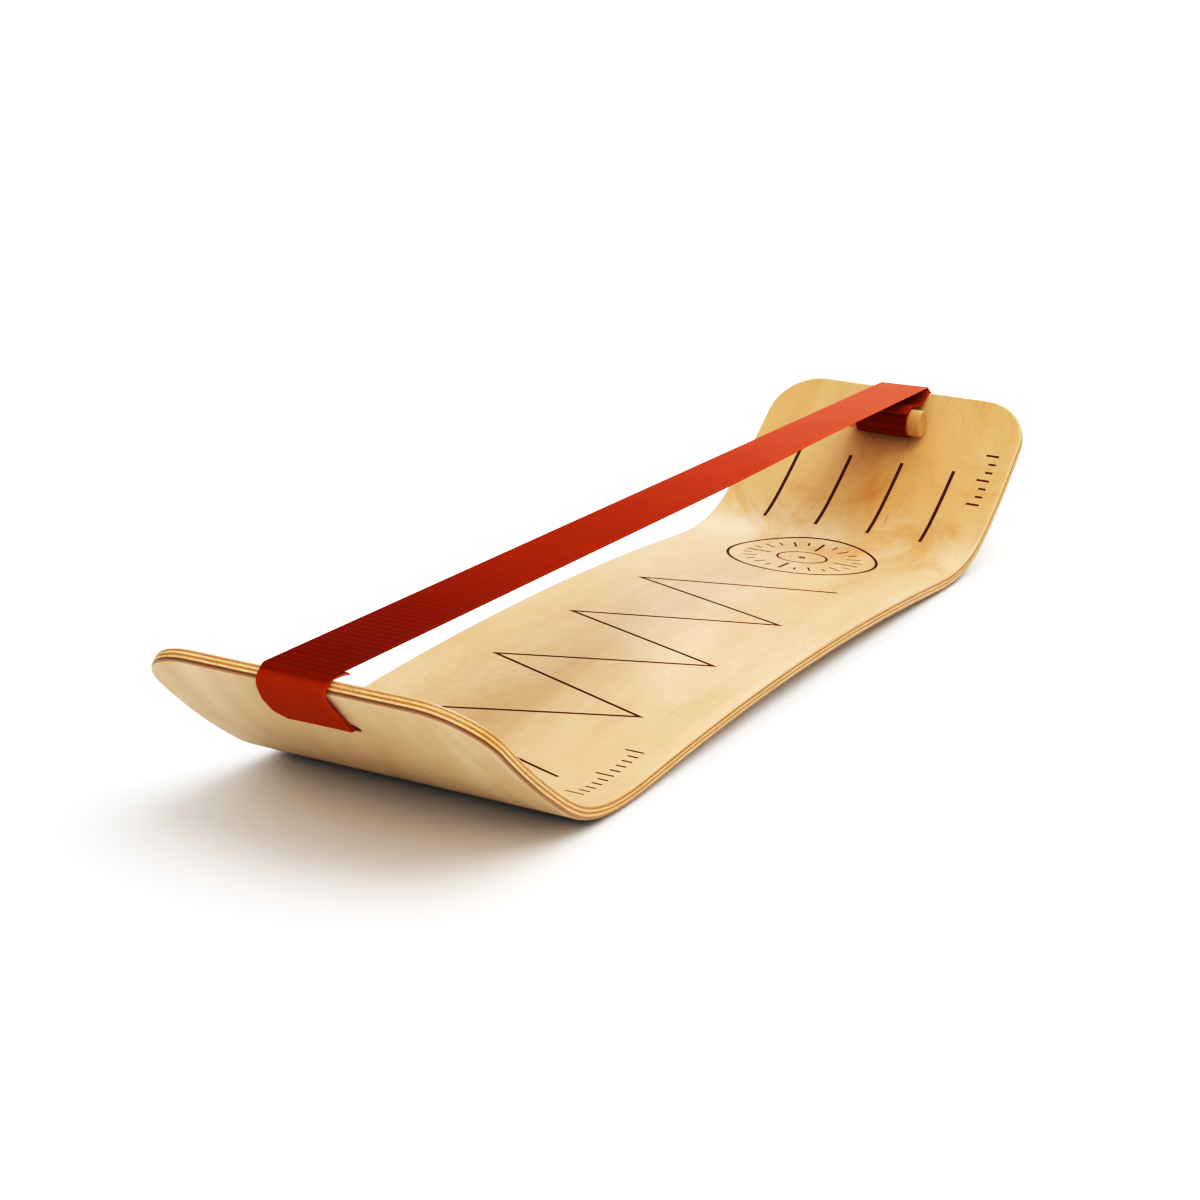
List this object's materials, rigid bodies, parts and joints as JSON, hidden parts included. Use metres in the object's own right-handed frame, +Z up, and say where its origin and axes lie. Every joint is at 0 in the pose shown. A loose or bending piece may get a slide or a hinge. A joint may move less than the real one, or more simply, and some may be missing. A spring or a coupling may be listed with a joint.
{
  "type": "slackline balance board",
  "caption": "Bent plywood deck with both ends kicked up and a flat webbing stretched from rim to rim to stand and balance on.",
  "frame": {"origin": "under the centre of the deck, on the floor plane of the two floor strips", "axes": "+X along the deck towards the far kick, +Y across the deck, +Z up"},
  "size_m": [1.0522, 0.256, 0.1299],
  "materials": {
    "face_veneer": "pale birch face veneer, clear satin lacquer",
    "under_veneer": "greyer birch underside veneer, clear satin lacquer",
    "cross_veneer": "tan end-grain bands of the crosswise veneers, lacquered",
    "long_veneer": "light long-grain bands of the lengthwise veneers, lacquered",
    "webbing": "red-orange woven polyester webbing with fine ribs",
    "pin_wood": "bare turned hardwood with open end grain",
    "floor_strip": "matt dark anti-slip rubber"
  },
  "bodies": {
    "root": {"deck_veneer_1_top_face": "face_veneer", "deck_veneer_2_cross": "cross_veneer", "deck_veneer_3_long": "long_veneer", "deck_veneer_4_core_cross": "cross_veneer", "deck_veneer_5_long": "long_veneer", "deck_veneer_6_cross": "cross_veneer", "deck_veneer_7_bottom_face": "under_veneer", "near_floor_strip": "floor_strip", "far_floor_strip": "floor_strip", "webbing_near_anchor": "webbing", "webbing_far_anchor": "webbing", "webbing_far_tail": "webbing"},
    "webbing_middle": {"webbing_centre": "webbing"},
    "webbing_near": {"webbing_near_span": "webbing", "webbing_near_tail": "webbing"},
    "webbing_far": {"webbing_far_span": "webbing"},
    "near_pin": {"near_anchor_pin": "pin_wood"},
    "far_pin": {"far_anchor_pin": "pin_wood"}
  },
  "joints": [
    {"name": "webbing_press", "type": "slide", "parent": "root", "child": "webbing_middle", "axis": [0, 0, -1], "range_m": [0, 0.045], "stiffness_N_per_m": 6000},
    {"name": "webbing_near_tilt", "type": "hinge", "parent": "root", "child": "webbing_near", "pos_m": [-0.51596, 0, 0.12303], "axis": [0, 1, 0], "range_deg": [0, 6.6]},
    {"name": "webbing_far_tilt", "type": "hinge", "parent": "root", "child": "webbing_far", "pos_m": [0.51596, 0, 0.12303], "axis": [0, -1, 0], "range_deg": [0, 6.6]},
    {"name": "near_pin_slide", "type": "slide", "parent": "root", "child": "near_pin", "axis": [0, -1, 0], "range_m": [0, 0.065]},
    {"name": "far_pin_slide", "type": "slide", "parent": "root", "child": "far_pin", "axis": [0, -1, 0], "range_m": [0, 0.065]}
  ],
  "couplings": [
    {"joint": "webbing_near_tilt", "follows": "webbing_press", "rad_per_m": 2.4076},
    {"joint": "webbing_far_tilt", "follows": "webbing_press", "rad_per_m": 2.4076}
  ]
}
